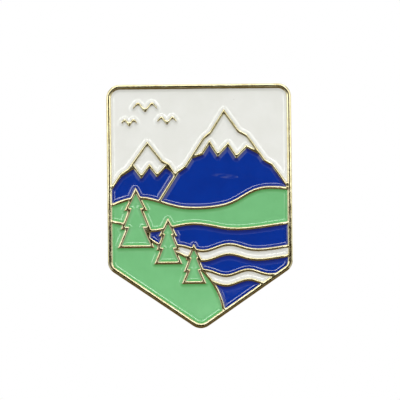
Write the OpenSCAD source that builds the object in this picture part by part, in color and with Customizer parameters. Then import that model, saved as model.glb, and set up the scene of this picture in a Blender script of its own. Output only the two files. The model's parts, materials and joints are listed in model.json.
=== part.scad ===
// Lapel pin with soft enamel: a struck badge, its enamel fills, two posts and two butterfly clutches.
// The pin stands upright as worn: face towards -Y, top edge towards +Z.
// The origin is on the back of the badge, midway between the posts.

/* [Badge] */
// Width of the badge across its straight sides
badge_w = 28.9; // [27:0.1:32]
// Height of the straight sides, from the top edge to the sharp shoulder
side_h = 28.7; // [27:0.1:32]
// Height of the pointed foot, from the shoulder to the sharp tip
foot_h = 9.9; // [8.5:0.1:11.5]
// Radius of every corner of the outline
corner_r = 2.1; // [1.4:0.1:2.6]
// Height of the top edge above the posts
top_z = 16; // [14:0.1:18]
// Thickness of the struck metal
plate_t = 1.6; // [1.4:0.1:2.4]
// Width of the raised border
rim_w = 0.75; // [0.6:0.05:1]
// Width of the raised lines between the colours
line_w = 0.45; // [0.35:0.05:0.55]
// Depth of the struck cells
cell_depth = 0.6; // [0.45:0.05:0.7]
// How far the enamel lies below the tops of the lines
enamel_sink = 0.28; // [0.1:0.02:0.34]

/* [Posts] */
// Distance between the two posts
post_pitch = 16; // [14:0.5:17]
// Radius of a post
post_r = 0.6; // [0.5:0.05:0.62]
// Length of a post from the back of the badge to its point
post_l = 8.2; // [7.6:0.1:10]
// Radius of the soldered foot of a post
foot_r = 1.6; // [1.2:0.1:2]
// Thickness of the soldered foot
foot_t = 0.4; // [0.3:0.05:0.5]
// Depth of the dimple in the badge that takes the foot
dimple_depth = 0.2; // [0.1:0.05:0.25]

/* [Clutches] */
// Room for cloth between the badge and the clutch
cloth_gap = 2.1; // [2.05:0.05:2.6]
// Outside radius of the clutch cup
cup_r = 5.7; // [5.5:0.1:5.9]
// Thickness of the sheet metal of the clutch
sheet_t = 0.35; // [0.3:0.05:0.4]
// Radius of the hole in the cup that the post goes through
cup_hole_r = 0.75; // [0.7:0.05:0.9]
// Height of the wings' folds above the cup's base
fold_z = 2.25; // [2.2:0.05:2.4]
// Distance of the folds from the post
fold_y = 4; // [3.8:0.05:4.1]
// Length of a wing from its fold to its rounded end
wing_l = 4.6; // [4:0.1:5.2]
// Lean of a wing out from the post's direction, in degrees
wing_lean = 34; // [28:1:40]

/* [Hidden] */
NODES = [
    "badge_plate",
    "enamel_sky", "enamel_left_mountain", "enamel_left_snow", "enamel_main_mountain", "enamel_main_snow",
    "enamel_hill", "enamel_lake_far", "enamel_wave_upper", "enamel_lake_middle", "enamel_wave_lower",
    "enamel_lake_near", "enamel_bank", "enamel_pine_left", "enamel_pine_middle", "enamel_pine_right",
    "post_left", "post_right",
    "clutch_left_cup", "clutch_left_spring_plate", "clutch_left_wing_upper", "clutch_left_wing_lower",
    "clutch_right_cup", "clutch_right_spring_plate", "clutch_right_wing_upper", "clutch_right_wing_lower"
];
fills = [for (name = NODES) if (name[0] == "e") name];
$fn = 64;

gold = "#c0a868";
brass = "#c9ae62";
white = "#eceae4";
blue = "#063a92";
green = "#74be7c";

// Badge outline, from its sharp corners: width and height are also the scale of the picture
half_w = badge_w / 2;
shoulder_z = top_z - side_h;
tip_z = shoulder_z - foot_h;
corners = [[-half_w, top_z], [-half_w, shoulder_z], [0, tip_z], [half_w, shoulder_z], [half_w, top_z]];
picture_w = 28.9;
picture_h = 38.6;
picture_top = 16;
beyond = 40;
sliver_w = 0.2;
curve_steps = 6;
arc_steps = 12;

// Picture, in millimetres at the nominal size
main_ridge = [
    [-9.4, -7], [-3.4, 2.3], [-2.2, 3.1], [0.8, 7.6], [1.8, 8.4], [3.9, 11.7], [6.1, 8.6], [7.4, 7.9],
    [10.2, 4], [11.4, 3.3], [18, -6]
];
main_snow_edge = [
    [-2, 4.3], [0.4, 5.1], [1.6, 6.9], [2.9, 4.9], [4.5, 6.6], [5.8, 4.6], [7.4, 6.2], [9.6, 5]
];
left_ridge = [
    [-18, -6], [-12.2, 2], [-11.1, 2.7], [-8.1, 6.8], [-5.9, 4], [-4.8, 3.4], [1, -6]
];
left_snow_edge = [[-13, 1.4], [-10.2, 3.1], [-9.1, 1.6], [-7.8, 3.3], [-6.6, 1.8], [-5.3, 3.2], [-3, 1.6]];
hill_line = [[-16, -3.6], [-9.5, -1.7], [-2.5, -3.3], [4, -2.9], [9.5, -0.4], [16, -0.6]];
shore_line = [[-16, -6.4], [-8, -6.9], [-1, -5.8], [6, -6.7], [16, -5.5]];
bank_line = [[-16, -4.9], [-10.8, -6.2], [-6.4, -9.1], [-1.4, -11.5], [2.6, -16.2], [4.4, -23]];
wave_upper_line = [[-8, -9.9], [-3.5, -9.2], [0.5, -10.1], [4.5, -9.1], [9, -10], [16, -9.1]];
wave_lower_line = [[-4, -13.7], [0.5, -13.1], [4, -14], [7.5, -13.1], [11, -13.9], [16, -13.1]];
wave_h = 1.5;
pine_feet = [[-10, -9.3], [-5, -11.9], [-1, -15]];
pine_heights = [8.8, 6.6, 5.6];
pine_outline = [[0.29, 0], [0.15, 0.33], [0.235, 0.33], [0.105, 0.66], [0.17, 0.66], [0, 1]];
bird_places = [[-8.4, 12.3], [-5, 10.3], [-10.9, 10.1]];
bird_sizes = [1.9, 1.5, 1.2];
bird_outline = [[-1, 0.1], [-0.55, 0.5], [0, 0], [0.55, 0.5], [1, 0.1]];
bird_body_w = 0.63;
bird_tip_w = 0.34;

// Posts: a dimple locates the foot, a groove near the point holds the jaws of a clutch
post_x = post_pitch / 2;
post_point_l = 1.6;
post_point_r = 0.12;
groove_w = 0.5;
groove_depth = 0.12;
groove_y = post_l - post_point_l - 2.4 * groove_w;
dimple_gap = 0.05;

// Clutch, measured from the cup's flat base along the post
grip_h = 0.25;
grip_r = 0.45;
grip_at = 2.9;
grips = 4;
clutch_y = cloth_gap + grip_h;
base_r = cup_r - 1.3;
bend = 0.2;
shelf_w = 0.9;
shelf_z = 1.4;
plate_r = cup_r - sheet_t - 0.1;
lip_z = shelf_z + sheet_t;
lip_r = cup_r - 0.7;
window_x = 2.3;
fold_r = 0.4;
window_y = fold_y - 0.15;
window_round = 0.5;
jaw_w = 4;
jaw_z = 1.7;
jaw_gap = 0.16;
jaw_r = post_r + 0.06;
wing_w = 6.2;
wing_root_w = 3.6;
wing_neck_l = fold_r + 0.1;

function art(p) = [p[0] * badge_w / picture_w, top_z + (p[1] - picture_top) * (side_h + foot_h) / picture_h];
function catmull(a, b, c, d, t) =
    (2 * b + (c - a) * t + (2 * a - 5 * b + 4 * c - d) * t * t + (3 * b - a - 3 * c + d) * t * t * t) / 2;
function ahead(p, i) = i > len(p) - 1 ? 2 * p[len(p) - 1] - p[len(p) - 2] : p[i];
function behind(p, i) = i < 0 ? 2 * p[0] - p[1] : p[i];
function smooth(p) = [
    for (i = [0 : len(p) - 2], s = [0 : curve_steps - 1])
        catmull(behind(p, i - 1), p[i], p[i + 1], ahead(p, i + 2), s / curve_steps),
    p[len(p) - 1]
];
function shifted(p, dz) = [for (q = p) [q[0], q[1] + dz]];
function unit(v) = v / norm(v);

// Points on the arc of radius r, about the centre of the arc that rounds corner i
function arc(i, r) =
    let (
        n = len(corners),
        u = unit(corners[(i + n - 1) % n] - corners[i]),
        v = unit(corners[(i + 1) % n] - corners[i]),
        half = acos(u * v) / 2,
        first = atan2(-u[1] - v[1], -u[0] - v[0]) - (90 - half),
        step = 2 * (90 - half) / arc_steps,
        centre = corners[i] + unit(u + v) * corner_r / sin(half)
    ) [for (k = [0 : arc_steps]) centre + r * [cos(first + k * step), sin(first + k * step)]];

module badge_outline(inset = 0) {
    polygon([for (i = [0 : len(corners) - 1]) each arc(i, corner_r - inset)]);
}

// Everything under a line of the picture, and everything over it
module under(line) {
    p = [for (q = line) art(q)];
    polygon(concat(p, [[p[len(p) - 1][0], -beyond], [p[0][0], -beyond]]));
}

module over(line) {
    p = [for (q = line) art(q)];
    polygon(concat(p, [[p[len(p) - 1][0], beyond], [p[0][0], beyond]]));
}

// A pine has three tiers: its outline is half of the tree, for a height of 1
module pine(i) {
    n = len(pine_outline);
    mirrored = [for (k = [n - 2 : -1 : 0]) [-pine_outline[k][0], pine_outline[k][1]]];
    polygon([for (q = concat(pine_outline, mirrored)) art(q * pine_heights[i] + pine_feet[i])]);
}

module pines() {
    for (i = [0 : len(pine_feet) - 1]) pine(i);
}

// A bird is a raised line of metal: two bowed wings that meet in a low notch
module bird(i) {
    s = bird_sizes[i];
    top = smooth(bird_outline);
    low = [for (k = [len(top) - 1 : -1 : 0])
        top[k] - [0, bird_body_w + (bird_tip_w - bird_body_w) * abs(top[k][0])] / s];
    polygon([for (q = concat(top, low)) art(q * s + bird_places[i])]);
}

module birds() {
    for (i = [0 : len(bird_places) - 1]) bird(i);
}

// Layers of the picture from the front to the back, each without what lies before it
module foreground() {
    pines();
    under(smooth(bank_line));
}

module water() {
    difference() {
        under(smooth(shore_line));
        foreground();
    }
}

module near_layers() {
    under(smooth(hill_line));
    under(smooth(shore_line));
    foreground();
}

module main_face() {
    difference() {
        under(main_ridge);
        near_layers();
    }
}

module left_face() {
    difference() {
        under(left_ridge);
        under(main_ridge);
        near_layers();
    }
}

module wave(line) {
    intersection() {
        water();
        under(smooth(line));
        over(smooth(shifted(line, -wave_h)));
    }
}

// One region of the picture by name, up to the middle of the raised lines round it
module region(name) {
    if (name == "enamel_sky") difference() {
        square(2 * beyond, center = true);
        under(main_ridge);
        under(left_ridge);
        near_layers();
    }
    if (name == "enamel_left_mountain") difference() {
        left_face();
        over(left_snow_edge);
    }
    if (name == "enamel_left_snow") intersection() {
        left_face();
        over(left_snow_edge);
    }
    if (name == "enamel_main_mountain") difference() {
        main_face();
        over(main_snow_edge);
    }
    if (name == "enamel_main_snow") intersection() {
        main_face();
        over(main_snow_edge);
    }
    if (name == "enamel_hill") difference() {
        under(smooth(hill_line));
        under(smooth(shore_line));
        foreground();
    }
    if (name == "enamel_lake_far") intersection() {
        water();
        over(smooth(wave_upper_line));
    }
    if (name == "enamel_wave_upper") wave(wave_upper_line);
    if (name == "enamel_lake_middle") intersection() {
        water();
        under(smooth(shifted(wave_upper_line, -wave_h)));
        over(smooth(wave_lower_line));
    }
    if (name == "enamel_wave_lower") wave(wave_lower_line);
    if (name == "enamel_lake_near") intersection() {
        water();
        under(smooth(shifted(wave_lower_line, -wave_h)));
    }
    if (name == "enamel_bank") difference() {
        under(smooth(bank_line));
        pines();
    }
    if (name == "enamel_pine_left") pine(0);
    if (name == "enamel_pine_middle") pine(1);
    if (name == "enamel_pine_right") pine(2);
}

// The struck cell of a region: half a line narrower all round, inside the border, without slivers
module cell(name) {
    offset(delta = sliver_w / 2) offset(delta = -sliver_w / 2) difference() {
        intersection() {
            offset(delta = -line_w / 2) region(name);
            badge_outline(rim_w);
        }
        if (name == "enamel_sky") birds();
    }
}

// Picture to part: up in the picture is +Z, and height above the back is -Y
module facing() {
    rotate([90, 0, 0]) children();
}

// Clutch or post to part: away from the badge is +Y
module behind_badge(side, y = 0) {
    translate([side * post_x, y, 0]) rotate([-90, 0, 0]) children();
}

module badge_plate() {
    color(gold) difference() {
        facing() linear_extrude(plate_t) badge_outline();
        for (name = fills) facing() translate([0, 0, plate_t - cell_depth])
            linear_extrude(2 * cell_depth) cell(name);
        for (side = [-1, 1]) behind_badge(side, -dimple_depth)
            cylinder(r = foot_r + dimple_gap, h = 2 * dimple_depth);
    }
}

module enamel(name, tint) {
    color(tint) facing() translate([0, 0, plate_t - cell_depth])
        linear_extrude(cell_depth - enamel_sink) cell(name);
}

module post(side) {
    neck_y = foot_t - dimple_depth;
    shank_end = post_l - post_point_l;
    color(gold) behind_badge(side) difference() {
        rotate_extrude() polygon([
            [0, -dimple_depth], [foot_r, -dimple_depth], [foot_r, neck_y], [post_r, neck_y],
            [post_r, shank_end], [post_point_r, post_l], [0, post_l]
        ]);
        translate([0, 0, groove_y]) difference() {
            cylinder(r = 2 * post_r, h = groove_w);
            translate([0, 0, -groove_w]) cylinder(r = post_r - groove_depth, h = 3 * groove_w);
        }
    }
}

// Drawn cup: flat base with grip points, flared wall, and a rim crimped over the spring plate
module clutch_cup(side) {
    color(brass) behind_badge(side, clutch_y) {
        rotate_extrude() polygon([
            [cup_hole_r, 0], [base_r - bend, 0], [base_r + bend, bend], [cup_r - bend, shelf_z - sheet_t],
            [cup_r, shelf_z - sheet_t + bend], [cup_r, lip_z + sheet_t - bend],
            [cup_r - bend, lip_z + sheet_t], [lip_r, lip_z + sheet_t], [lip_r, lip_z],
            [cup_r - sheet_t, lip_z], [cup_r - sheet_t, shelf_z], [cup_r - shelf_w, shelf_z],
            [base_r - bend, sheet_t], [cup_hole_r, sheet_t]
        ]);
        for (k = [0 : grips - 1]) rotate([0, 0, (k + 0.5) * 360 / grips])
            translate([grip_at, 0, grip_r - grip_h]) sphere(r = grip_r);
    }
}

// Spring plate: a disc under the crimped rim, with a window for the jaws
module clutch_spring_plate(side) {
    color(brass) behind_badge(side, clutch_y + shelf_z) linear_extrude(sheet_t) difference() {
        circle(plate_r);
        square([2 * window_x, 2 * (window_y - window_round)], center = true);
        square([2 * (window_x - window_round), 2 * window_y], center = true);
        for (x = [-1, 1], y = [-1, 1])
            translate([x * (window_x - window_round), y * (window_y - window_round)]) circle(window_round);
    }
}

// Extrudes a profile drawn in the Y and Z directions along X
module across(w) {
    rotate([90, 0, 90]) translate([0, 0, -w / 2]) linear_extrude(w) children();
}

// Outline of a wing from its fold: a neck that widens to a half round end
module wing_outline() {
    shoulder = wing_l - wing_w / 2;
    polygon([
        [-wing_root_w / 2, 0], [wing_root_w / 2, 0], [wing_root_w / 2, wing_neck_l], [wing_w / 2, shoulder],
        [-wing_w / 2, shoulder], [-wing_root_w / 2, wing_neck_l]
    ]);
    translate([0, shoulder]) intersection() {
        circle(wing_w / 2);
        translate([-wing_w, 0]) square(2 * wing_w);
    }
}

// One arm of the spring: a fold, a jaw that slopes down to the post, and a rounded wing
module clutch_wing(side, turn) {
    jaw_end = jaw_gap / 2;
    color(brass) behind_badge(side, clutch_y) rotate([0, 0, turn]) {
        difference() {
            across(jaw_w) polygon([
                [fold_y, fold_z - sheet_t / 2], [fold_y, fold_z + sheet_t / 2],
                [jaw_end, jaw_z + sheet_t / 2], [jaw_end, jaw_z - sheet_t / 2]
            ]);
            cylinder(r = jaw_r, h = 2 * fold_z);
        }
        across(jaw_w) translate([fold_y, fold_z]) circle(fold_r);
        translate([0, fold_y, fold_z]) rotate([90 - wing_lean, 0, 0]) translate([0, 0, -sheet_t / 2])
            linear_extrude(sheet_t) wing_outline();
    }
}

badge_plate();
enamel("enamel_sky", white);  // enamel_sky
enamel("enamel_left_mountain", blue);  // enamel_left_mountain
enamel("enamel_left_snow", white);  // enamel_left_snow
enamel("enamel_main_mountain", blue);  // enamel_main_mountain
enamel("enamel_main_snow", white);  // enamel_main_snow
enamel("enamel_hill", green);  // enamel_hill
enamel("enamel_lake_far", blue);  // enamel_lake_far
enamel("enamel_wave_upper", white);  // enamel_wave_upper
enamel("enamel_lake_middle", blue);  // enamel_lake_middle
enamel("enamel_wave_lower", white);  // enamel_wave_lower
enamel("enamel_lake_near", blue);  // enamel_lake_near
enamel("enamel_bank", green);  // enamel_bank
enamel("enamel_pine_left", green);  // enamel_pine_left
enamel("enamel_pine_middle", green);  // enamel_pine_middle
enamel("enamel_pine_right", green);  // enamel_pine_right
post(-1);  // post_left
post(1);  // post_right
clutch_cup(-1);  // clutch_left_cup
clutch_spring_plate(-1);  // clutch_left_spring_plate
clutch_wing(-1, 180);  // clutch_left_wing_upper
clutch_wing(-1, 0);  // clutch_left_wing_lower
clutch_cup(1);  // clutch_right_cup
clutch_spring_plate(1);  // clutch_right_spring_plate
clutch_wing(1, 180);  // clutch_right_wing_upper
clutch_wing(1, 0);  // clutch_right_wing_lower
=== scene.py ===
"""Looks of a soft enamel lapel pin: a struck and plated badge with sunk enamel, two posts on its back, and a
butterfly clutch on each post."""
import json
import math

import bmesh
import bpy
import numpy as np
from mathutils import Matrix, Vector
from mathutils.geometry import delaunay_2d_cdt
from mathutils.kdtree import KDTree
from mathutils.noise import noise

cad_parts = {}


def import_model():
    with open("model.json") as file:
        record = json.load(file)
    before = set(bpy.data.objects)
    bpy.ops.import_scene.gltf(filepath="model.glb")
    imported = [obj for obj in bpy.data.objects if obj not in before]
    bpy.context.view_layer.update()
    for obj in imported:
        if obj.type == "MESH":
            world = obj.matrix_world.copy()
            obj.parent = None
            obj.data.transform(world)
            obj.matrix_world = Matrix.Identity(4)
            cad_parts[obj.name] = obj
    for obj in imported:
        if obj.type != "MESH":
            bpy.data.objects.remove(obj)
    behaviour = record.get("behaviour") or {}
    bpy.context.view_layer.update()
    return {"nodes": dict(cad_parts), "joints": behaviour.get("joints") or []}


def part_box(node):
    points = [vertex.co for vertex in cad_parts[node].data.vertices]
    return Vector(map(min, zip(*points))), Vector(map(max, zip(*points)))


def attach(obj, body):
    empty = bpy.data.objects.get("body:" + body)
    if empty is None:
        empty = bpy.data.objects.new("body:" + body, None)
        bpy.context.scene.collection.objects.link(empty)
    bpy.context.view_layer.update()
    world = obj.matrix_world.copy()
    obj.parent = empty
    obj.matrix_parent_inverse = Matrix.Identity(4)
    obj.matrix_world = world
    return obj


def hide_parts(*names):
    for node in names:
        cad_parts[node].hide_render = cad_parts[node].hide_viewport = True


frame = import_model()

# Sizes and places are in millimetres, and become metres where Blender takes them
MM = 0.001

# Outlines: the step between points, the fewest points, the passes that soften corners, the points of a
# circle, the steps of a fillet, and the height of a triangle whose sides are 1
STEP = 0.1
LEAST_POINTS = 12
SOFTEN = 2
CIRCLE_POINTS = 72
FILLET_STEPS = 6
TRIANGLE_H = math.sqrt(0.75)

# Meshes: digits that tell points apart, the share of its depth that a ring's point keeps, the distances that
# are welded and dissolved, the bend and skew of two triangles that still make a quad, and a sharp edge's bend
DIGITS = 4
RING_KEPT = 0.96
WELD = 0.0002
SLIVER = 0.00002
QUAD_BEND = math.radians(30)
QUAD_SKEW = math.radians(25)
SHARP = math.radians(40)
# The triangulation's code for faces inside the outlines only
INSIDE = 1

# Struck metal: shoulders of the lines, rounding of the border and of the back edge, the buffed rim, and the
# dimples and the grid of the back
LINE_ROUND = 0.16
LINE_DEPTH = 0.08
BORDER_ROUND = 0.15
BACK_ROUND = 0.14
ROUND_SHARES = (0.1, 0.3, 0.6, 1)
RIM_W = 0.75
RIM_RIDGE = 0.3
RIM_FALL_OUT = 0.04
RIM_FALL_IN = 0.05
RIM_EASE = 0.8
RIM_RINGS = (0.2, 0.25, 0.3, 0.35, 0.4, 0.45, 0.5)
DIMPLE_GAP = 0.05
BACK_GRID = 1.2
# Places in the struck plate's list of finishes. Other pieces have only the first
FACE, BACK, EDGE = range(3)

# Enamel: it climbs the walls of its cell in a band, and lies nearly flat elsewhere
CLIMB_W = 0.4
CLIMB_SLOPE = 0.38
CLIMB_SOFT = 0.09
ENAMEL_DIP = 0.02
ENAMEL_WAVE = 0.006
ENAMEL_WAVE_L = 3.5
ENAMEL_RINGS = (0.07, 0.15, 0.22, 0.28, 0.34, 0.4, 0.46, 0.52, 0.6, 0.7, 0.82)
ENAMEL_GRID = 0.4

# Posts, along their length from the back of the badge
POST_SEGMENTS = 64
POST_R = 0.6
POST_GROOVE_R = 0.48
POST_GROOVE = (5.38, 5.48, 5.82, 5.92)
POST_POINT_L = 1.6
POST_POINT_R = 0.13
SOLDER_ROUND = 0.42
FOOT_ROUND_UNDER = 0.06
FOOT_ROUND_OVER = 0.14
GROOVE_ROUND_OUT = 0.04
GROOVE_ROUND_IN = 0.05
POINT_ROUND_WIDE = 0.5
POINT_ROUND_TIP = 0.09

# Cup of a clutch, along the post from its flat base
CUP_SEGMENTS = 128
CUP_STEP = 0.18
CUP_BASE_R = 4.45
CUP_HOLE_R = 0.75
CUP_LIP_W = 0.7
CUP_FLARE_H = 1.2
SHELF_W = 0.95
SHELF_H = 1.4
HOLE_ROUND = 0.12
BASE_ROUND = 0.5
BASE_ROUND_IN = 0.4
FLARE_ROUND = 0.45
CRIMP_ROUND = 0.3
CRIMP_ROUND_IN = 0.05
LIP_ROUND_OVER = 0.16
LIP_ROUND_UNDER = 0.14
SHELF_ROUND = 0.2
GRIPS = 4
GRIP_AT = 2.9
GRIP_H = 0.25
GRIP_R = 0.34
RING_AT = 1.7
RING_H = 0.09
RING_W = 0.2

# Spring plate and wings, stamped from sheet
SHEET_ROUND = 0.1
SHEET_GRID = 0.24
PLATE_POINTS = 288
WINDOW = (2.3, 3.85)
WINDOW_ROUND = 0.5
BEAD_AT = 0.55
BEAD_H = 0.12
BEAD_W = 0.17
JAW_H = 1.7
JAW_END = 0.08
JAW_BORE = 0.66
JAW_W = 4
NOTCH_MARGIN = 0.12
NOTCH_POINTS = 12
NECK_W = 3.6
NECK_L = 0.5
NECK_STEP = 0.1
WING_W = 6.2
WING_L = 4.6
WING_POINTS = 24
WING_LEAN = math.radians(34)
WING_DISH = 0.22
FOLD_ROUND = 0.6
KNUCKLE = 1.1
KNUCKLE_W = 0.34

# Finishes: how detailed their noise is, and the refraction of those that aren't enamel
COARSE = 1.0
MEDIUM = 2.0
FINE = 3.0
FINEST = 4.0
PLAIN_IOR = 1.5

# Enamel's finish: clouds of colour, painted shade in a band along the walls, gloss, orange peel, dust,
# and a rubbed streak
ENAMEL_IOR = 1.65
CLOUD_L = 2.5
CLOUD_RANGE = (0.35, 0.65)
WALL_SHADE_BAND = (0.15, 0.5)
GLOSS_L = 0.6
GLOSS_RANGE = (0.3, 0.7)
ENAMEL_ROUGH = (0.05, 0.1)
PEEL_L = 0.5
PEEL_DEPTH = 0.002
DUST_L = 2.6
DUST_SIZE = 0.09
DUST_CORE = 0.4
DUST_DEPTH = 0.004
RUB_PLACE = (4.0, -1.4, 1.6)
RUB_HALF = (2.3, 1.0, 0.42)
RUB_TILT = math.radians(5)
RUB_CORE = 0.6
RUB_GRAIN_L = 0.45
RUB_GRAIN_STRETCH = (2.5, 1, 1)
RUB_GRAIN_RANGE = (0.38, 0.62)

# Metal's finish: patches of colour, shine, buffing waves, fine lines, grain, and marks of the trimming die
PATCH_L = 1.1
PATCH_RANGE = (0.35, 0.7)
SHINE_L = 0.35
SHINE_RANGE = (0.3, 0.75)
WAVE_L = 1.6
SCRATCH_W = 0.07
SCRATCH_L = 1.8
GRAIN_L = 0.12
DRAG_W = 0.16
DRAG_STRETCH = (1, 14, 1)

# Camera: the size and scale of the photograph, the middle of the badge in it, and the camera's roll and lens
PHOTO_PX = 400
MM_PER_PX = 0.15615
PIN_PX = (199.7, 206.2)
ROLL = math.radians(0.6)
LENS = 180
SENSOR = 36
CLIP_START = 10

# Floor: it ends behind the pin, just below what the camera sees, and fades into the white background
FLOOR_DROP = 21
FLOOR_SIZE = (1200, 700)
FLOOR_END = 95
FLOOR_TINT = (0.8, 0.8, 0.8)
FLOOR_GLOW = 0.28
FLOOR_FADE = (35, 95)

# Cards that the metal mirrors: one before the pin, and two just above the floor, under its front and back
CARD_GAP = 1
FRONT_CARD_Y = -460
FRONT_CARD_SIZE = (800, 700)
FRONT_CARD_TINT = (0.1, 0.08, 0.028)
LOW_CARD_SIZE = (100, 350)
LOW_CARD_TINT = (0.16, 0.11, 0.04)
REAR_CARD_TINT = (0.5, 0.42, 0.29)

# Light: the world's strength, and lamps by their angle off the pin's axis, in degrees, how far they lean up,
# and their distance, size and radiance
WHITE = (1, 1, 1, 1)
AMBIENT = 0.35
KEY_LAMP = {"angle": 17.5, "up": 0.62, "away": 400, "size": (110, 130), "radiance": 3.4}
SIDE_LAMP = {"angle": 52, "up": 0.1, "away": 400, "size": (260, 300), "radiance": 1.5}
UPPER_LAMP = {"angle": 18.5, "up": 1, "away": 400, "size": (200, 60), "radiance": 6}
TOP_LAMP = {"angle": 68, "up": 1, "away": 400, "size": (560, 400), "radiance": 1.95}
BACK_LAMP = {"angle": 40, "up": 0.4, "away": 260, "size": (180, 220), "radiance": 0.8, "behind": True}

# CAD nodes by the colour of their enamel, sides of the pin, and the name of the values that finishes read
WHITES = ("enamel_sky", "enamel_left_snow", "enamel_main_snow", "enamel_wave_upper", "enamel_wave_lower")
BLUES = ("enamel_left_mountain", "enamel_main_mountain", "enamel_lake_far", "enamel_lake_middle",
         "enamel_lake_near")
GREENS = ("enamel_hill", "enamel_bank", "enamel_pine_left", "enamel_pine_middle", "enamel_pine_right")
FILLS = WHITES + BLUES + GREENS
SIDES = ("left", "right")
LINES = "lines"


def node_box(name):
    """Lowest and highest corners of a CAD node, in millimetres."""
    low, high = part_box(name)
    return np.array(low) / MM, np.array(high) / MM


# Outlines and fills

def outlines(node):
    """Closed outlines of a node's flat front face as (x, z) points, with the face on their left."""
    mesh = frame["nodes"][node].data
    points = [tuple(round(c / MM, DIGITS) for c in v.co) for v in mesh.vertices]
    front = min(y for _, y, _ in points)
    edges = {}
    for face in mesh.polygons:
        corners = [points[i] for i in face.vertices]
        if all(y == front for _, y, _ in corners):
            edges.update(dict.fromkeys(zip(corners, corners[1:] + corners[:1])))
    following = {a: b for a, b in edges if (b, a) not in edges}
    loops = []
    while following:
        loop = [next(iter(following))]
        while loop[-1] in following:
            loop.append(following.pop(loop[-1]))
        loops.append(evened([(x, z) for x, _, z in loop[1:]]))
    return loops


def single(points):
    """Points in single precision, which the triangulation gives back, so that sheets and walls meet."""
    return points.astype(np.float32).astype(float)


def evened(loop):
    """A closed outline with points at even steps and slightly rounded corners."""
    closed = np.array([*loop, loop[0]], float)
    along = np.concatenate([[0], np.cumsum(np.hypot(*np.diff(closed, axis=0).T))])
    places = np.linspace(0, along[-1], max(LEAST_POINTS, round(along[-1] / STEP)), endpoint=False)
    even = np.column_stack([np.interp(places, along, closed[:, k]) for k in (0, 1)])
    for _ in range(SOFTEN):
        even = (np.roll(even, 1, 0) + 2 * even + np.roll(even, -1, 0)) / 4
    return single(even)


def circle(centre, radius, points=CIRCLE_POINTS):
    turn = np.linspace(0, 2 * math.pi, points, endpoint=False)
    return single(np.column_stack([centre[0] + radius * np.cos(turn), centre[1] + radius * np.sin(turn)]))


def turns_left(loop):
    """Whether an outline goes counter-clockwise."""
    ahead = np.roll(loop, -1, 0)
    return (loop[:, 0] * ahead[:, 1] - ahead[:, 0] * loop[:, 1]).sum() > 0


def distances(points, loops):
    """How far each point is from the nearest of the loops."""
    here = np.vstack(loops)
    ends = [np.vstack([np.roll(loop, shift, 0) for loop in loops]) for shift in (1, -1)]
    tree = KDTree(len(here))
    for i, (x, z) in enumerate(here):
        tree.insert((x, z, 0), i)
    tree.balance()
    near = [tree.find((x, z, 0))[1] for x, z in points]
    best = np.full(len(points), np.inf)
    for end in ends:
        along = end[near] - here[near]
        share = np.clip(((points - here[near]) * along).sum(1) / (along ** 2).sum(1), 0, 1)
        best = np.minimum(best, np.hypot(*(points - here[near] - share[:, None] * along).T))
    return best


def ringed(loops, depths):
    """Points at the given distances to the left of the loops, where no other stretch comes nearer."""
    found = []
    for loop in loops:
        along = np.roll(loop, -1, 0) - np.roll(loop, 1, 0)
        left = np.column_stack([-along[:, 1], along[:, 0]]) / np.hypot(*along.T)[:, None]
        found += [loop + depth * left for depth in depths]
    wanted = np.concatenate([np.full(len(loop), depth) for loop in loops for depth in depths])
    found = np.vstack(found)
    return found[distances(found, loops) > RING_KEPT * wanted]


def gridded(loops, step, clear):
    """Points of a triangular grid over the loops, at least clear away from them."""
    low, high = np.vstack(loops).min(0), np.vstack(loops).max(0)
    rows = np.arange(low[1], high[1], step * TRIANGLE_H)
    found = np.array([(x + k % 2 * step / 2, z) for k, z in enumerate(rows)
                      for x in np.arange(low[0], high[0], step)])
    return found[distances(found, loops) > clear]


def filled(loops, *inner):
    """Points and triangles that fill the area between loops, with the inner points among their corners."""
    points = [Vector(p) for p in np.vstack([*loops, *inner])]
    rings, first = [], 0
    for loop in loops:
        ring = list(range(first, first + len(loop)))
        rings.append(ring if turns_left(loop) else ring[::-1])
        first += len(loop)
    made, _, faces, _, _, within = delaunay_2d_cdt(points, [], rings, INSIDE, WELD)
    faces = [face for face, rings_round in zip(faces, within) if len(rings_round) % 2]
    used = sorted({i for face in faces for i in face})
    place = {old: new for new, old in enumerate(used)}
    return np.array([made[i][:] for i in used]), [[place[i] for i in face] for face in faces]


def filleted(corners):
    """An open line through corners given as (x, y, radius), with each inner corner rounded to its radius."""
    points = [Vector(corners[0][:2])]
    for before, (*here, radius), after in zip(corners, corners[1:], corners[2:]):
        here = Vector(here)
        u = (Vector(before[:2]) - here).normalized()
        v = (Vector(after[:2]) - here).normalized()
        half = u.angle(v) / 2
        start = here + u * radius / math.tan(half)
        centre = here + (u + v).normalized() * radius / math.sin(half)
        arm = start - centre
        turn = math.copysign(math.pi - 2 * half, -u.cross(v))
        for k in range(FILLET_STEPS + 1):
            share = turn * k / FILLET_STEPS
            points.append(centre + Vector((arm.x * math.cos(share) - arm.y * math.sin(share),
                                           arm.x * math.sin(share) + arm.y * math.cos(share))))
    points.append(Vector(corners[-1][:2]))
    return np.array([p[:] for p in points])


def filleted_ring(corners):
    """A closed outline through corners given as (x, y, radius)."""
    start = (np.array(corners[0][:2]) + corners[-1][:2]) / 2
    return filleted([(*start, 0), *corners, (*start, 0)])[:-1]


def stepped(line, step):
    """An open line with points added so that no stretch is longer than step."""
    made = [line[:1]]
    for a, b in zip(line, line[1:]):
        count = max(1, math.ceil(np.hypot(*(b - a)) / step))
        made.append(a + (b - a) * np.arange(1, count + 1)[:, None] / count)
    return np.vstack(made)


# Surfaces

def roundover(distance, radius, depth=None):
    """How far a rounded edge drops at some distance from its wall, to a depth or to its radius."""
    reach = np.clip(1 - distance / radius, 0, 1)
    return (depth or radius) * (1 - np.sqrt(1 - reach ** 2))


def rippled(points, length):
    """Slow waves over (x, z) points, from -1 to 1."""
    return np.array([noise((x / length, z / length, length)) for x, z in points])


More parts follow.
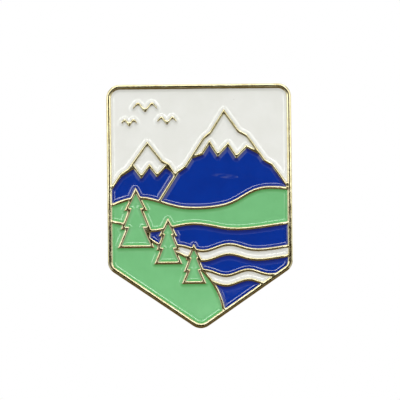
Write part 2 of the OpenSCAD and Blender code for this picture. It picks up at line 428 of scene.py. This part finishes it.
def eased(share):
    """A share from 0 to 1 that starts and ends slowly."""
    return share ** 2 * (3 - 2 * share)


def hump(distance, width):
    """A smooth hump that is 1 in its middle, by the distance from there."""
    return np.exp(-(distance / width) ** 2)


def strips(count, rows):
    """Quads between rows of points, each row closed."""
    return [[row * count + k, row * count + (k + 1) % count, (row + 1) * count + (k + 1) % count,
             (row + 1) * count + k]
            for row in range(rows - 1) for k in range(count)]


class Skin:
    """Faces of one closed piece, gathered sheet by sheet and welded where their edges meet."""

    def __init__(self):
        self.points = []
        self.faces = []
        self.finishes = []

    def add(self, points, faces, finish=FACE):
        """Points, and the faces between them in one finish."""
        first = len(self.points)
        self.points += [tuple(p) for p in points]
        self.faces += [[first + i for i in face] for face in faces]
        self.finishes += [finish] * len(faces)

    def sheet(self, flat, faces, y, finish=FACE):
        """A filled area, facing along Y, at a height for each point or at one height."""
        self.add(np.column_stack([flat[:, 0], np.broadcast_to(y, len(flat)), flat[:, 1]]), faces, finish)

    def wall(self, loop, *heights, finish=FACE):
        """A wall straight along Y on an outline, through heights for each point or for all."""
        count = len(loop)
        rows = [np.column_stack([loop[:, 0], np.broadcast_to(y, count), loop[:, 1]]) for y in heights]
        self.add(np.vstack(rows), strips(count, len(heights)), finish)

    def turned(self, profile, centre, segments):
        """A surface of revolution about the direction of Y, from (radius, height) points."""
        turn = np.linspace(0, 2 * math.pi, segments, endpoint=False)
        rows = [np.column_stack([centre[0] + radius * np.cos(turn), np.full(segments, height),
                                 centre[1] + radius * np.sin(turn)]) for radius, height in profile]
        self.add(np.vstack(rows), strips(segments, len(profile)))

    def stamped(self, loops, thickness):
        """A flat blank of sheet with rounded edges, its middle at height 0."""
        rings = ringed(loops, [share * SHEET_ROUND for share in ROUND_SHARES])
        flat, faces = filled(loops, rings, gridded(loops, SHEET_GRID, SHEET_ROUND + SHEET_GRID / 2))
        half = thickness / 2 - roundover(distances(flat, loops), SHEET_ROUND)
        self.sheet(flat, faces, half)
        self.sheet(flat, faces, -half)
        for loop in loops:
            self.wall(loop, SHEET_ROUND - thickness / 2, thickness / 2 - SHEET_ROUND)

    def shaped(self, move):
        """Moves every point by a function of all of them."""
        self.points = [tuple(p) for p in move(np.array(self.points))]

    def piece(self, name, materials, body, replaced, lines):
        """Makes the piece an object that rides on a body and stands for a CAD node.

        A finish reads lines, a function of the points. Fine lines in metal run where it stays the same, and
        enamel is darkened by painted shade where it is small."""
        mesh = bpy.data.meshes.new(name)
        bm = bmesh.new()
        corners = [bm.verts.new(Vector(p) * MM) for p in self.points]
        for face, finish in zip(self.faces, self.finishes):
            bm.faces.new([corners[i] for i in face]).material_index = finish
        bmesh.ops.remove_doubles(bm, verts=bm.verts, dist=WELD * MM)
        bmesh.ops.dissolve_degenerate(bm, edges=bm.edges, dist=SLIVER * MM)
        bmesh.ops.join_triangles(bm, faces=bm.faces, angle_face_threshold=QUAD_BEND,
                                 angle_shape_threshold=QUAD_SKEW)
        bmesh.ops.recalc_face_normals(bm, faces=bm.faces)
        for face in bm.faces:
            face.smooth = True
        for edge in bm.edges:
            edge.smooth = edge.calc_face_angle(0) < SHARP
        bm.to_mesh(mesh)
        bm.free()
        values = lines(np.array([v.co for v in mesh.vertices]) / MM)
        mesh.attributes.new(LINES, "FLOAT", "POINT").data.foreach_set("value", values)
        for material in materials:
            mesh.materials.append(material)
        made = bpy.data.objects.new(name, mesh)
        bpy.context.scene.collection.objects.link(made)
        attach(made, body)
        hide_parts(replaced)


# Materials

class Nodes:
    """A node tree under construction."""

    def __init__(self, tree):
        self.tree = tree

    def feed(self, socket, value):
        """Links a socket to another one, or sets it to a value."""
        if isinstance(value, bpy.types.NodeSocket):
            self.tree.links.new(value, socket)
        else:
            socket.default_value = value

    def node(self, kind, **inputs):
        """A new node, fed by the names of its inputs, with _ for a space."""
        made = self.tree.nodes.new(kind)
        for name, value in inputs.items():
            self.feed(made.inputs[name.replace("_", " ")], value)
        return made

    def worked_out(self, operation, first, second):
        """What an operation makes of two numbers."""
        made = self.node("ShaderNodeMath")
        made.operation = operation
        self.feed(made.inputs[0], first)
        self.feed(made.inputs[1], second)
        return made.outputs[0]

    def seen(self):
        """1 for the rays that see the background: those of the camera, and those mirrored or let through."""
        path = self.node("ShaderNodeLightPath").outputs
        found = self.worked_out("MAXIMUM", path["Is Camera Ray"], path["Is Glossy Ray"])
        return self.worked_out("MAXIMUM", found, path["Is Transmission Ray"])


class Finish(Nodes):
    """A material under construction, with the shader that its nodes feed."""

    def __init__(self, name, metallic, ior=PLAIN_IOR):
        self.material = bpy.data.materials.new(name)
        self.material.use_nodes = True
        super().__init__(self.material.node_tree)
        self.shader = self.tree.nodes["Principled BSDF"]
        self.to(metallic, "Metallic")
        self.to(ior, "IOR")
        self.place = self.node("ShaderNodeTexCoord").outputs["Object"]

    def to(self, value, name):
        """Feeds a socket of the shader."""
        self.feed(self.shader.inputs[name], value)

    def scaled(self, length, stretch=(1, 1, 1)):
        """The place on the piece in units of a length, drawn out along axes by stretch."""
        units = [1 / (length * MM * share) for share in stretch]
        return self.node("ShaderNodeMapping", Vector=self.place, Scale=units).outputs["Vector"]

    def noise(self, length, detail=MEDIUM, stretch=(1, 1, 1)):
        """Noise whose features are about length long, drawn out along axes by stretch."""
        place = self.scaled(length, stretch)
        return self.node("ShaderNodeTexNoise", Vector=place, Scale=1.0, Detail=detail).outputs["Fac"]

    def line(self):
        """What the piece's lines function gave its points, in millimetres."""
        made = self.node("ShaderNodeAttribute")
        made.attribute_name = LINES
        return made.outputs["Fac"]

    def streaks(self, width, length):
        """Noise that is width wide across the lines of a piece, and length long along them."""
        made = self.node("ShaderNodeTexNoise", Vector=self.scaled(length), Scale=1.0)
        made.noise_dimensions = "4D"
        self.feed(made.inputs["W"], self.worked_out("DIVIDE", self.line(), width))
        return made.outputs["Fac"]

    def specks(self, length, size):
        """1 in tiny round specks, one in each cell of the given length, and 0 elsewhere."""
        made = self.node("ShaderNodeTexVoronoi", Vector=self.scaled(length), Scale=1.0)
        return self.ranged(made.outputs["Distance"], (size / length, DUST_CORE * size / length))

    def rubbed(self):
        """Up to 1 along the rubbed streak, broken up by noise, and 0 elsewhere."""
        mapped = self.node("ShaderNodeMapping", Vector=self.place, Location=[c * MM for c in RUB_PLACE],
                           Rotation=(0, RUB_TILT, 0), Scale=[c * MM for c in RUB_HALF])
        mapped.vector_type = "TEXTURE"
        made = self.node("ShaderNodeTexGradient", Vector=mapped.outputs["Vector"])
        made.gradient_type = "SPHERICAL"
        streak = self.ranged(made.outputs["Fac"], (0, RUB_CORE))
        grain = self.noise(RUB_GRAIN_L, FINE, RUB_GRAIN_STRETCH)
        return self.worked_out("MULTIPLY", streak, self.ranged(grain, RUB_GRAIN_RANGE))

    def ranged(self, socket, old, new=(0, 1)):
        """A number carried from one range to another, and kept in it."""
        made = self.node("ShaderNodeMapRange", Value=socket, From_Min=old[0], From_Max=old[1],
                         To_Min=new[0], To_Max=new[1])
        return made.outputs["Result"]

    def mixed(self, share, first, second):
        """A colour between two, each a colour or a socket, by a share from 0 to 1."""
        made = self.node("ShaderNodeMix", Factor=share)
        made.data_type = "RGBA"
        for name, colour in (("A", first), ("B", second)):
            socket = next(s for s in made.inputs if s.name == name and s.type == "RGBA")
            self.feed(socket, colour if isinstance(colour, bpy.types.NodeSocket) else (*colour, 1))
        return next(s for s in made.outputs if s.type == "RGBA")

    def bumped(self, *layers):
        """Bumps from pairs of a height socket, from 0 to 1, and the depth that it stands for."""
        normal = None
        for height, depth in layers:
            made = self.node("ShaderNodeBump", Height=height, Distance=depth * MM, Strength=1.0)
            if normal:
                self.feed(made.inputs["Normal"], normal)
            normal = made.outputs["Normal"]
        self.to(normal, "Normal")


def enamel_finish(name, colour, shade, edge, speck, rub=None):
    """Baked enamel: a nearly even colour with painted shade along the walls, a fine orange peel, specks of
    dust, and perhaps a rubbed streak."""
    finish = Finish(name, metallic=0.0, ior=ENAMEL_IOR)
    dust = finish.specks(DUST_L, DUST_SIZE)
    tint = finish.mixed(finish.ranged(finish.noise(CLOUD_L, FINE), CLOUD_RANGE), colour, shade)
    # Painted shade: the colour darkens in a band next to the walls of the cell
    tint = finish.mixed(finish.ranged(finish.line(), WALL_SHADE_BAND, (1, 0)), tint, edge)
    if rub:
        tint = finish.mixed(finish.rubbed(), tint, rub)
    finish.to(finish.mixed(dust, tint, speck), "Base Color")
    finish.to(finish.ranged(finish.noise(GLOSS_L), GLOSS_RANGE, ENAMEL_ROUGH), "Roughness")
    finish.bumped((finish.noise(PEEL_L), PEEL_DEPTH), (dust, DUST_DEPTH))
    return finish.material


def metal_finish(name, bright, deep, rough, wave, scratch, grain, drag=0.0):
    """Metal with deeper patches, slow waves from buffing, fine lines along its surface, a grain, and marks of
    a trimming die along Y. The last four are depths."""
    finish = Finish(name, metallic=1.0)
    patches = finish.ranged(finish.noise(PATCH_L, FINEST), PATCH_RANGE)
    finish.to(finish.mixed(patches, bright, deep), "Base Color")
    finish.to(finish.ranged(finish.noise(SHINE_L, FINEST), SHINE_RANGE, rough), "Roughness")
    finish.bumped((finish.noise(WAVE_L, COARSE), wave), (finish.streaks(SCRATCH_W, SCRATCH_L), scratch),
                  (finish.noise(GRAIN_L), grain), (finish.noise(DRAG_W, FINE, DRAG_STRETCH), drag))
    return finish.material


# plated_gold, on the face and posts, is a darker copy of the plating on the back and edge: painted shade
plated_gold = metal_finish("plated_gold", bright=(0.52, 0.485, 0.32), deep=(0.44, 0.385, 0.205),
                           # that dims its reflections of the lamps
                           rough=(0.07, 0.18), wave=0.016, scratch=0.002, grain=0.0004)
plated_back = metal_finish("plated_back", bright=(0.85, 0.75, 0.52), deep=(0.81, 0.7, 0.46),
                           rough=(0.3, 0.38), wave=0.012, scratch=0.0, grain=0.0015)
plated_edge = metal_finish("plated_edge", bright=(0.78, 0.7, 0.5), deep=(0.7, 0.59, 0.36),
                           rough=(0.14, 0.26), wave=0.003, scratch=0.0, grain=0.0004, drag=0.004)
clutch_brass = metal_finish("clutch_brass", bright=(0.83, 0.68, 0.36), deep=(0.74, 0.57, 0.27),
                            rough=(0.15, 0.3), wave=0.004, scratch=0.003, grain=0.0005)
# edge is each enamel's colour in the band of painted shade along its walls
enamel_white = enamel_finish("enamel_white", colour=(0.84, 0.845, 0.8), shade=(0.81, 0.815, 0.765),
                             edge=(0.74, 0.745, 0.69), speck=(0.66, 0.65, 0.6))
enamel_blue = enamel_finish("enamel_blue", colour=(0.001, 0.031, 0.305), shade=(0.0008, 0.027, 0.275),
                            edge=(0.0006, 0.016, 0.2), speck=(0.1, 0.16, 0.4), rub=(0.05, 0.075, 0.3))
enamel_green = enamel_finish("enamel_green", colour=(0.19, 0.53, 0.222), shade=(0.175, 0.5, 0.205),
                             edge=(0.12, 0.42, 0.135), speck=(0.4, 0.66, 0.4))


# Badge: enamel in its cells, and the struck plate round them

def climbed(away):
    """How far enamel climbs at a distance from the wall of its cell."""
    return CLIMB_SLOPE * CLIMB_SOFT * np.log1p(np.exp((CLIMB_W - away) / CLIMB_SOFT))


def enamel(name, material):
    loops = outlines(name)
    low, high = node_box(name)
    flat, faces = filled(loops, ringed(loops, ENAMEL_RINGS), gridded(loops, ENAMEL_GRID, ENAMEL_RINGS[-1]))
    away = distances(flat, loops)
    wave = ENAMEL_WAVE * rippled(flat, ENAMEL_WAVE_L) * np.clip(away / CLIMB_W, 0, 1)
    level = low[1] + ENAMEL_DIP
    skin = Skin()
    skin.sheet(flat, faces, level - climbed(away) + wave)
    skin.sheet(*filled(loops), high[1])
    for loop in loops:
        skin.wall(loop, level - climbed(0), high[1])
    skin.piece(f"{name}_fill", [material], "badge", name,
               lambda points: distances(points[:, [0, 2]], loops))


def buffed(inward):
    """How far buffing lowers the rim on both sides of its ridge, and the ends of the lines that meet it."""
    outside = RIM_FALL_OUT * np.clip(1 - inward / RIM_RIDGE, 0, 1) ** 2
    inside = RIM_FALL_IN * np.clip((inward - RIM_RIDGE) / (RIM_W - RIM_RIDGE), 0, 1) ** 2
    back_up = np.clip((inward - RIM_W) / RIM_EASE, 0, 1)
    return outside + inside * (1 - eased(back_up))


def struck_face(skin, border, front):
    """Raised lines and rim, and the walls and floors of the cells between them."""
    floor = node_box(FILLS[0])[1][1]
    cells = [outlines(name) for name in FILLS]
    walls = [loop[::-1] for loops in cells for loop in loops]
    rings = np.vstack([
        ringed(walls, [share * LINE_ROUND for share in ROUND_SHARES]),
        ringed([border], [*(share * BORDER_ROUND for share in ROUND_SHARES), *RIM_RINGS]),
    ])
    flat, faces = filled([border, *walls], rings)
    inward = distances(flat, [border])
    shoulders = roundover(distances(flat, walls), LINE_ROUND, LINE_DEPTH)
    drop = shoulders + roundover(inward, BORDER_ROUND) + buffed(inward)
    skin.sheet(flat, faces, front + drop)
    for loops in cells:
        skin.sheet(*filled(loops), floor)
        for loop in loops:
            skin.wall(loop, front + LINE_DEPTH + buffed(distances(loop, [border])), floor)


def dimpled_back(skin, border, back):
    """Flat back with a rounded edge, and a dimple for the foot of each post."""
    feet = [np.array(node_box(f"post_{side}")) for side in SIDES]
    dimples = [circle((foot[:, 0].mean(), foot[:, 2].mean()), np.ptp(foot[:, 0]) / 2 + DIMPLE_GAP)
               for foot in feet]
    rings = ringed([border], [share * BACK_ROUND for share in ROUND_SHARES])
    flat, faces = filled([border, *dimples], rings, gridded([border, *dimples], BACK_GRID, BACK_GRID))
    skin.sheet(flat, faces, back - roundover(distances(flat, [border]), BACK_ROUND), BACK)
    for dimple, foot in zip(dimples, feet):
        skin.wall(dimple, back, foot[0, 1])
        skin.sheet(*filled([dimple]), foot[0, 1])


def badge_plate():
    low, high = node_box("badge_plate")
    front, back = low[1], high[1]
    border = max(outlines("badge_plate"), key=lambda loop: np.ptp(loop[:, 1]))
    skin = Skin()
    struck_face(skin, border, front)
    skin.wall(border, front + BORDER_ROUND + RIM_FALL_OUT, back - BACK_ROUND, finish=EDGE)
    dimpled_back(skin, border, back)
    skin.piece("struck_plate", [plated_gold, plated_back, plated_edge], "badge", "badge_plate",
               lambda points: distances(points[:, [0, 2]], [border]))


# Posts: a soldered foot, a shank with a groove for the jaws, and a point

def post(side):
    low, high = node_box(f"post_{side}")
    foot_r = (high[0] - low[0]) / 2
    # Half of the foot lies in its dimple, so it stands as far above the back as it reaches below
    foot_top = -low[1]
    profile = filleted([
        (0, low[1], 0), (foot_r, low[1], FOOT_ROUND_UNDER), (foot_r, foot_top, FOOT_ROUND_OVER),
        (POST_R, foot_top, SOLDER_ROUND),
        (POST_R, POST_GROOVE[0], GROOVE_ROUND_OUT), (POST_GROOVE_R, POST_GROOVE[1], GROOVE_ROUND_IN),
        (POST_GROOVE_R, POST_GROOVE[2], GROOVE_ROUND_IN), (POST_R, POST_GROOVE[3], GROOVE_ROUND_OUT),
        (POST_R, high[1] - POST_POINT_L, POINT_ROUND_WIDE),
        (POST_POINT_R, high[1] - POST_POINT_R / 2, POINT_ROUND_TIP), (0, high[1], 0)
    ])
    skin = Skin()
    skin.turned(profile, (low + high)[[0, 2]] / 2, POST_SEGMENTS)
    skin.piece(f"post_{side}_turned", [plated_gold], "badge", f"post_{side}",
               lambda points: points[:, 1])


# Butterfly clutches: a drawn cup, a spring plate crimped into it, and two wings that end in jaws

def clutch_place(side):
    """Centre of a clutch, height of its base, and thickness of its sheet."""
    low, high = node_box(f"clutch_{side}_spring_plate")
    return (low + high)[[0, 2]] / 2, low[1] - SHELF_H, high[1] - low[1]


def cup_section(cup_r, top, sheet):
    """Half of a section through a cup as (radius, height) points, all the way round the sheet."""
    lip_r = cup_r - CUP_LIP_W
    seat = SHELF_H + sheet
    return stepped(filleted([
        (CUP_HOLE_R, sheet / 2, 0), (CUP_HOLE_R, 0, HOLE_ROUND), (CUP_BASE_R, 0, BASE_ROUND),
        (cup_r, CUP_FLARE_H, FLARE_ROUND), (cup_r, top, CRIMP_ROUND), (lip_r, top, LIP_ROUND_OVER),
        (lip_r, seat, LIP_ROUND_UNDER), (cup_r - sheet, seat, CRIMP_ROUND_IN),
        (cup_r - sheet, SHELF_H, CRIMP_ROUND_IN), (cup_r - SHELF_W, SHELF_H, SHELF_ROUND),
        (CUP_BASE_R - sheet, sheet, BASE_ROUND_IN), (CUP_HOLE_R, sheet, HOLE_ROUND),
        (CUP_HOLE_R, sheet / 2, 0)
    ]), CUP_STEP)


def clutch_cup(side):
    name = f"clutch_{side}_cup"
    centre, base, sheet = clutch_place(side)
    low, high = node_box(name)
    skin = Skin()
    skin.turned(cup_section((high[0] - low[0]) / 2, high[1] - base, sheet), (0, 0), CUP_SEGMENTS)

    def pressed(points):
        """Presses the grip points and a ring into the base, and puts the cup on its post."""
        x, height, z = points.T
        height = height + RING_H * hump(np.hypot(x, z) - RING_AT, RING_W)
        for k in range(GRIPS):
            turn = (k + 0.5) * 2 * math.pi / GRIPS
            away = np.hypot(x - GRIP_AT * math.cos(turn), z - GRIP_AT * math.sin(turn))
            height -= GRIP_H * hump(away, GRIP_R)
        return np.column_stack([centre[0] + x, base + height, centre[1] + z])

    skin.shaped(pressed)
    skin.piece(f"clutch_{side}_drawn_cup", [clutch_brass], f"clutch_{side}", name,
               lambda points: np.hypot(*(points[:, [0, 2]] - centre).T) + points[:, 1])


def spring_plate(side):
    name = f"clutch_{side}_spring_plate"
    centre, _, sheet = clutch_place(side)
    low, high = node_box(name)
    window = [(x * WINDOW[0], z * WINDOW[1], WINDOW_ROUND) for x, z in ((-1, -1), (-1, 1), (1, 1), (1, -1))]
    skin = Skin()
    skin.stamped([circle((0, 0), (high[0] - low[0]) / 2, PLATE_POINTS), evened(filleted_ring(window))], sheet)

    def beaded(points):
        """Raises a bead on each side of the window, and puts the plate in its cup."""
        x, height, z = points.T
        ends = np.clip((WINDOW[1] - np.abs(z)) / WINDOW_ROUND, 0, 1)
        bead = BEAD_H * hump(np.abs(x) - WINDOW[0] - BEAD_AT, BEAD_W) * ends
        return np.column_stack([centre[0] + x, (low[1] + high[1]) / 2 + height + bead, centre[1] + z])

    skin.shaped(beaded)
    skin.piece(f"{name}_pressed", [clutch_brass], f"clutch_{side}", name,
               lambda points: points[:, 0])


def wing_blank(fold, length):
    """Outline of a wing before it is bent: half of the hole for the post, jaw, neck, and half round end."""
    shoulder = length - WING_W / 2
    neck = fold + NECK_L
    bore = math.sqrt(JAW_BORE ** 2 - JAW_END ** 2)
    notch = [(-bore * math.cos(a), -JAW_END + JAW_BORE * math.sin(a))
             for a in np.linspace(NOTCH_MARGIN, math.pi - NOTCH_MARGIN, NOTCH_POINTS)]
    end = [(WING_W / 2 * math.cos(a), shoulder + WING_W / 2 * math.sin(a))
           for a in np.linspace(0, math.pi, WING_POINTS)]
    right = [(JAW_W / 2, 0), (JAW_W / 2, neck - NECK_STEP), (NECK_W / 2, neck - NECK_STEP),
             (NECK_W / 2, neck)]
    left = [(-x, s) for x, s in right[::-1]]
    return evened([*notch, *right, *end, *left])


def wing(side, level):
    name = f"clutch_{side}_wing_{level}"
    centre, base, sheet = clutch_place(side)
    hinge = next(np.array(j["pos_m"]) / MM for j in frame["joints"] if j["child"] == name)
    out = math.copysign(1, hinge[2])
    fold = np.array([abs(hinge[2]), hinge[1]])
    tip = fold + WING_L * np.array([math.sin(WING_LEAN), math.cos(WING_LEAN)])
    line = stepped(filleted([(JAW_END, base + JAW_H, 0), (*fold, FOLD_ROUND), (*tip, 0)]), SHEET_ROUND)
    along = np.concatenate([[0], np.cumsum(np.hypot(*np.diff(line, axis=0).T))])
    at_fold = along[np.argmin(np.hypot(*(line - fold).T))]
    skin = Skin()
    skin.stamped([wing_blank(at_fold, along[-1])], sheet)

    def on_line(s):
        """Points of the bent line, by how far along it they are."""
        return np.column_stack([np.interp(s, along, line[:, k]) for k in (0, 1)])

    def bent(points):
        """Thickens the fold to a knuckle, dishes the wing, and bends the blank along its line."""
        x, height, s = points.T
        height = height * (1 + KNUCKLE * hump(s - at_fold, KNUCKLE_W))
        free = np.clip((s - at_fold - NECK_L) / (along[-1] - at_fold - NECK_L), 0, 1)
        height = height - WING_DISH * free * (1 - (2 * x / WING_W) ** 2)
        ahead = on_line(s + SHEET_ROUND) - on_line(s - SHEET_ROUND)
        ahead /= np.hypot(*ahead.T)[:, None]
        u, y = on_line(s).T + height * np.array([-ahead[:, 1], ahead[:, 0]])
        return np.column_stack([centre[0] + x, y, centre[1] + out * u])

    skin.shaped(bent)
    skin.piece(f"{name}_bent", [clutch_brass], name, name, lambda points: points[:, 0])


# Stage: background, camera, floor and lamps

def world():
    made = bpy.data.worlds.new("studio")
    bpy.context.scene.world = made
    made.use_nodes = True
    nodes = Nodes(made.node_tree)
    ambient = made.node_tree.nodes["Background"]
    nodes.feed(ambient.inputs["Color"], WHITE)
    nodes.feed(ambient.inputs["Strength"], AMBIENT)
    white = nodes.node("ShaderNodeBackground", Color=WHITE)
    mix = nodes.node("ShaderNodeMixShader")
    for socket, value in zip(mix.inputs, (nodes.seen(), ambient.outputs[0], white.outputs[0])):
        nodes.feed(socket, value)
    nodes.feed(made.node_tree.nodes["World Output"].inputs["Surface"], mix.outputs[0])


def camera():
    low, high = node_box("badge_plate")
    centre = (low + high) / 2
    made = bpy.data.objects.new("camera", bpy.data.cameras.new("camera"))
    bpy.context.scene.collection.objects.link(made)
    made.data.lens = LENS
    made.data.sensor_width = SENSOR
    away = PHOTO_PX * MM_PER_PX * LENS / SENSOR
    across, down = ((PHOTO_PX / 2 - px) * MM_PER_PX for px in PIN_PX)
    made.location = Vector((centre[0] + across, low[1] - away, centre[2] - down)) * MM
    made.rotation_euler = (math.pi / 2, ROLL, 0)
    made.data.clip_start = CLIP_START * MM
    bpy.context.scene.camera = made


def plane(name, centre, size, normal, material, ahead=0):
    """A rectangle of the stage that faces along a normal, and reaches further to one side of its centre."""
    mesh = bpy.data.meshes.new(name)
    x, y = (side * MM / 2 for side in size)
    low, high = ahead * MM - y, ahead * MM + y
    mesh.from_pydata([(-x, low, 0), (x, low, 0), (x, high, 0), (-x, high, 0)], [], [(0, 1, 2, 3)])
    mesh.materials.append(material)
    made = bpy.data.objects.new(name, mesh)
    bpy.context.scene.collection.objects.link(made)
    made.location = Vector(centre) * MM
    made.rotation_euler = Vector((0, 0, 1)).rotation_difference(Vector(normal)).to_euler()
    return made


def matte(name, tint):
    """A finish of one colour without any shine."""
    finish = Finish(name, metallic=0.0)
    finish.to((*tint, 1), "Base Color")
    finish.to(1.0, "Roughness")
    finish.to(0.0, "Specular IOR Level")
    return finish


def card(name, centre, size, normal, tint, ahead=0):
    """A toned card that shows only in reflections."""
    made = plane(name, centre, size, normal, matte(name, tint).material, ahead)
    made.visible_camera = False
    made.visible_diffuse = False
    made.visible_transmission = False
    made.visible_shadow = False


def floor():
    """Matte floor that keeps shadows near the pin and glows white further off, and the cards."""
    level = node_box("badge_plate")[0][2] - FLOOR_DROP
    finish = matte("floor", FLOOR_TINT)
    away = finish.node("ShaderNodeVectorMath", Vector=finish.place)
    away.operation = "LENGTH"
    fade = finish.ranged(away.outputs["Value"], [distance * MM for distance in FLOOR_FADE])
    glow = finish.worked_out("MULTIPLY", finish.seen(), finish.ranged(fade, (0, 1), (FLOOR_GLOW, 1)))
    finish.to(finish.mixed(fade, FLOOR_TINT, (0, 0, 0)), "Base Color")
    finish.to(glow, "Emission Strength")
    finish.to(WHITE, "Emission Color")
    up = (0, 0, 1)
    under = (0, 0, level + CARD_GAP)
    plane("floor", (0, 0, level), FLOOR_SIZE, up, finish.material, FLOOR_END - FLOOR_SIZE[1] / 2)
    card("low_card", under, LOW_CARD_SIZE, up, LOW_CARD_TINT, -LOW_CARD_SIZE[1] / 2)
    card("rear_card", under, FLOOR_SIZE, up, REAR_CARD_TINT, FLOOR_SIZE[1] / 2)
    card("front_card", (0, FRONT_CARD_Y, 0), FRONT_CARD_SIZE, (0, 1, 0), FRONT_CARD_TINT)


def softbox(name, across, angle, up, away, size, radiance, behind=False):
    """A rectangular lamp that faces the pin, at an angle off its axis, leaning across and up."""
    low, high = node_box("badge_plate")
    data = bpy.data.lights.new(name, "AREA")
    data.shape = "RECTANGLE"
    data.size, data.size_y = (side * MM for side in size)
    data.energy = radiance * math.pi * data.size * data.size_y
    made = bpy.data.objects.new(name, data)
    bpy.context.scene.collection.objects.link(made)
    lean = Vector((across, 0, up)).normalized() * math.sin(math.radians(angle))
    depth = math.cos(math.radians(angle)) * (1 if behind else -1)
    towards = (lean + Vector((0, depth, 0))).normalized()
    made.location = Vector((low + high) / 2) * MM + towards * away * MM
    made.rotation_euler = towards.to_track_quat("Z", "Y").to_euler()
    made.visible_camera = False


# The pieces, and then the stage

for names, material, slot in ((WHITES, enamel_white, "enamel_white"), (BLUES, enamel_blue, "enamel_blue"),
                              (GREENS, enamel_green, "enamel_green")):
    for name in names:
        enamel(name, material)
badge_plate()
for side in SIDES:
    post(side)
    clutch_cup(side)
    spring_plate(side)
    for level in ("upper", "lower"):
        wing(side, level)

world()
camera()
floor()
softbox("left", -1, **KEY_LAMP)
softbox("right", 1, **KEY_LAMP)
softbox("side_left", -1, **SIDE_LAMP)
softbox("side_right", 1, **SIDE_LAMP)
softbox("upper", 0, **UPPER_LAMP)
softbox("top", 0, **TOP_LAMP)
softbox("back_left", -1, **BACK_LAMP)
softbox("back_right", 1, **BACK_LAMP)
bpy.context.scene.view_settings.view_transform = "Standard"
